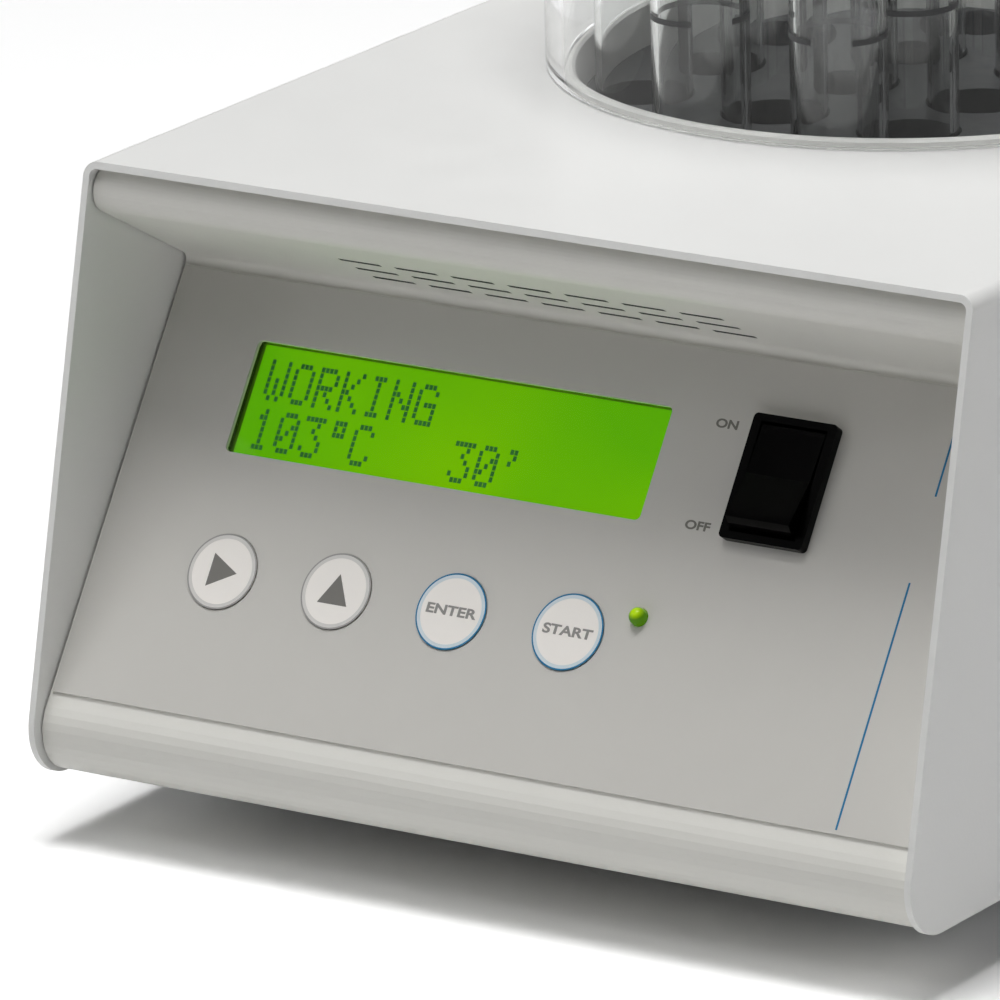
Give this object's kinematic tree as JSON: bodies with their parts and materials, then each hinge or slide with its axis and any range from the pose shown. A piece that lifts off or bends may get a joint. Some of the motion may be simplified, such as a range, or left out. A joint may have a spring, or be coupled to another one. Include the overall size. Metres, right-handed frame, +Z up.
{
  "type": "test tube thermoreactor",
  "caption": "Bench heater for test tubes: folded sheet case with a leaning control panel, round block with wells and a clear cylindrical guard.",
  "frame": {"origin": "middle of the footprint, on the bench under the feet", "axes": "+Z up, front with the control panel towards -Y, +X to the right as seen from the front"},
  "size_m": [0.173, 0.2594, 0.1959],
  "materials": {
    "painted_cover": "satin, near-white warm grey, fine texture",
    "painted_front": "satin light grey",
    "foil": "matte silver-grey film",
    "base_metal": "satin grey",
    "painted_rear": "satin light grey",
    "foot_rubber": "matte",
    "screw_steel": "zinc plated",
    "window": "clear",
    "display_green": "backlit green",
    "board_green": "solder mask",
    "nylon": "natural",
    "lamp_green": "tinted, lit",
    "switch_black": "satin",
    "rocker_black": "satin gloss",
    "collar_white": "satin",
    "guard_clear": "clear, polished",
    "block_aluminium": "dark anodised",
    "heater_mica": "mica laminate",
    "clamp_steel": "plain",
    "probe_steel": "polished",
    "cutout_body": "plain",
    "insulation": "fibre blanket",
    "pillar_ceramic": "unglazed",
    "transformer": "varnished",
    "heat_sink_black": "anodised",
    "terminal_green": "plain",
    "inlet_black": "satin",
    "drawer_black": "satin",
    "key_white": "smooth off-white",
    "tube_glass": "clear",
    "cap_black": "smooth"
  },
  "bodies": {
    "case": {"cover": "painted_cover", "front_panel": "painted_front", "front_foil": "foil", "base_plate": "base_metal", "rear_panel": "painted_rear", "feet": "foot_rubber", "foot_screws": "screw_steel", "case_screws": "screw_steel", "clamp_screws": "screw_steel", "display_window": "window", "display_glass": "display_green", "display_board": "board_green", "control_board": "board_green", "board_spacers": "nylon", "indicator_lamp": "lamp_green", "switch_body": "switch_black", "collar": "collar_white", "heating_block": "block_aluminium", "block_heater": "heater_mica", "heater_clamp": "clamp_steel", "temperature_probe": "probe_steel", "overheat_cutout": "cutout_body", "insulation_jacket": "insulation", "block_pillars": "pillar_ceramic", "power_board": "board_green", "transformer": "transformer", "heat_sink": "heat_sink_black", "terminal_block": "terminal_green", "mains_inlet": "inlet_black"},
    "rocker": {"switch_rocker": "rocker_black"},
    "guard": {"guard": "guard_clear"},
    "drawer": {"fuse_drawer": "drawer_black"},
    "key_1": {"key_1": "key_white"},
    "key_2": {"key_2": "key_white"},
    "key_3": {"key_3": "key_white"},
    "key_4": {"key_4": "key_white"},
    "tube_1": {"tube_1": "tube_glass", "tube_cap_1": "cap_black"},
    "tube_2": {"tube_2": "tube_glass", "tube_cap_2": "cap_black"},
    "tube_3": {"tube_3": "tube_glass", "tube_cap_3": "cap_black"},
    "tube_4": {"tube_4": "tube_glass", "tube_cap_4": "cap_black"},
    "tube_5": {"tube_5": "tube_glass", "tube_cap_5": "cap_black"},
    "tube_6": {"tube_6": "tube_glass", "tube_cap_6": "cap_black"},
    "tube_7": {"tube_7": "tube_glass", "tube_cap_7": "cap_black"},
    "tube_8": {"tube_8": "tube_glass", "tube_cap_8": "cap_black"},
    "tube_9": {"tube_9": "tube_glass", "tube_cap_9": "cap_black"},
    "tube_10": {"tube_10": "tube_glass", "tube_cap_10": "cap_black"},
    "tube_11": {"tube_11": "tube_glass", "tube_cap_11": "cap_black"},
    "tube_12": {"tube_12": "tube_glass", "tube_cap_12": "cap_black"}
  },
  "joints": [
    {"name": "rocker_swing", "type": "hinge", "parent": "case", "child": "rocker", "pos_m": [0.0402, -0.09452, 0.07018], "axis": [1, 0, 0], "range_deg": [0, 20]},
    {"name": "guard_lift", "type": "slide", "parent": "case", "child": "guard", "axis": [0, 0, 1], "range_m": [0, 0.07]},
    {"name": "drawer_slide", "type": "slide", "parent": "case", "child": "drawer", "axis": [0, 1, 0], "range_m": [0, 0.015]},
    {"name": "key_1_press", "type": "slide", "parent": "case", "child": "key_1", "axis": [0, 0.8281, -0.5606], "range_m": [0, 0.0005], "stiffness_N_per_m": 300, "springref_m": -0.001},
    {"name": "key_2_press", "type": "slide", "parent": "case", "child": "key_2", "axis": [0, 0.8281, -0.5606], "range_m": [0, 0.0005], "stiffness_N_per_m": 300, "springref_m": -0.001},
    {"name": "key_3_press", "type": "slide", "parent": "case", "child": "key_3", "axis": [0, 0.8281, -0.5606], "range_m": [0, 0.0005], "stiffness_N_per_m": 300, "springref_m": -0.001},
    {"name": "key_4_press", "type": "slide", "parent": "case", "child": "key_4", "axis": [0, 0.8281, -0.5606], "range_m": [0, 0.0005], "stiffness_N_per_m": 300, "springref_m": -0.001},
    {"name": "tube_1_lift", "type": "slide", "parent": "case", "child": "tube_1", "axis": [0, 0, 1], "range_m": [0, 0.06]},
    {"name": "tube_2_lift", "type": "slide", "parent": "case", "child": "tube_2", "axis": [0, 0, 1], "range_m": [0, 0.06]},
    {"name": "tube_3_lift", "type": "slide", "parent": "case", "child": "tube_3", "axis": [0, 0, 1], "range_m": [0, 0.06]},
    {"name": "tube_4_lift", "type": "slide", "parent": "case", "child": "tube_4", "axis": [0, 0, 1], "range_m": [0, 0.06]},
    {"name": "tube_5_lift", "type": "slide", "parent": "case", "child": "tube_5", "axis": [0, 0, 1], "range_m": [0, 0.06]},
    {"name": "tube_6_lift", "type": "slide", "parent": "case", "child": "tube_6", "axis": [0, 0, 1], "range_m": [0, 0.06]},
    {"name": "tube_7_lift", "type": "slide", "parent": "case", "child": "tube_7", "axis": [0, 0, 1], "range_m": [0, 0.06]},
    {"name": "tube_8_lift", "type": "slide", "parent": "case", "child": "tube_8", "axis": [0, 0, 1], "range_m": [0, 0.06]},
    {"name": "tube_9_lift", "type": "slide", "parent": "case", "child": "tube_9", "axis": [0, 0, 1], "range_m": [0, 0.06]},
    {"name": "tube_10_lift", "type": "slide", "parent": "case", "child": "tube_10", "axis": [0, 0, 1], "range_m": [0, 0.06]},
    {"name": "tube_11_lift", "type": "slide", "parent": "case", "child": "tube_11", "axis": [0, 0, 1], "range_m": [0, 0.06]},
    {"name": "tube_12_lift", "type": "slide", "parent": "case", "child": "tube_12", "axis": [0, 0, 1], "range_m": [0, 0.06]}
  ]
}
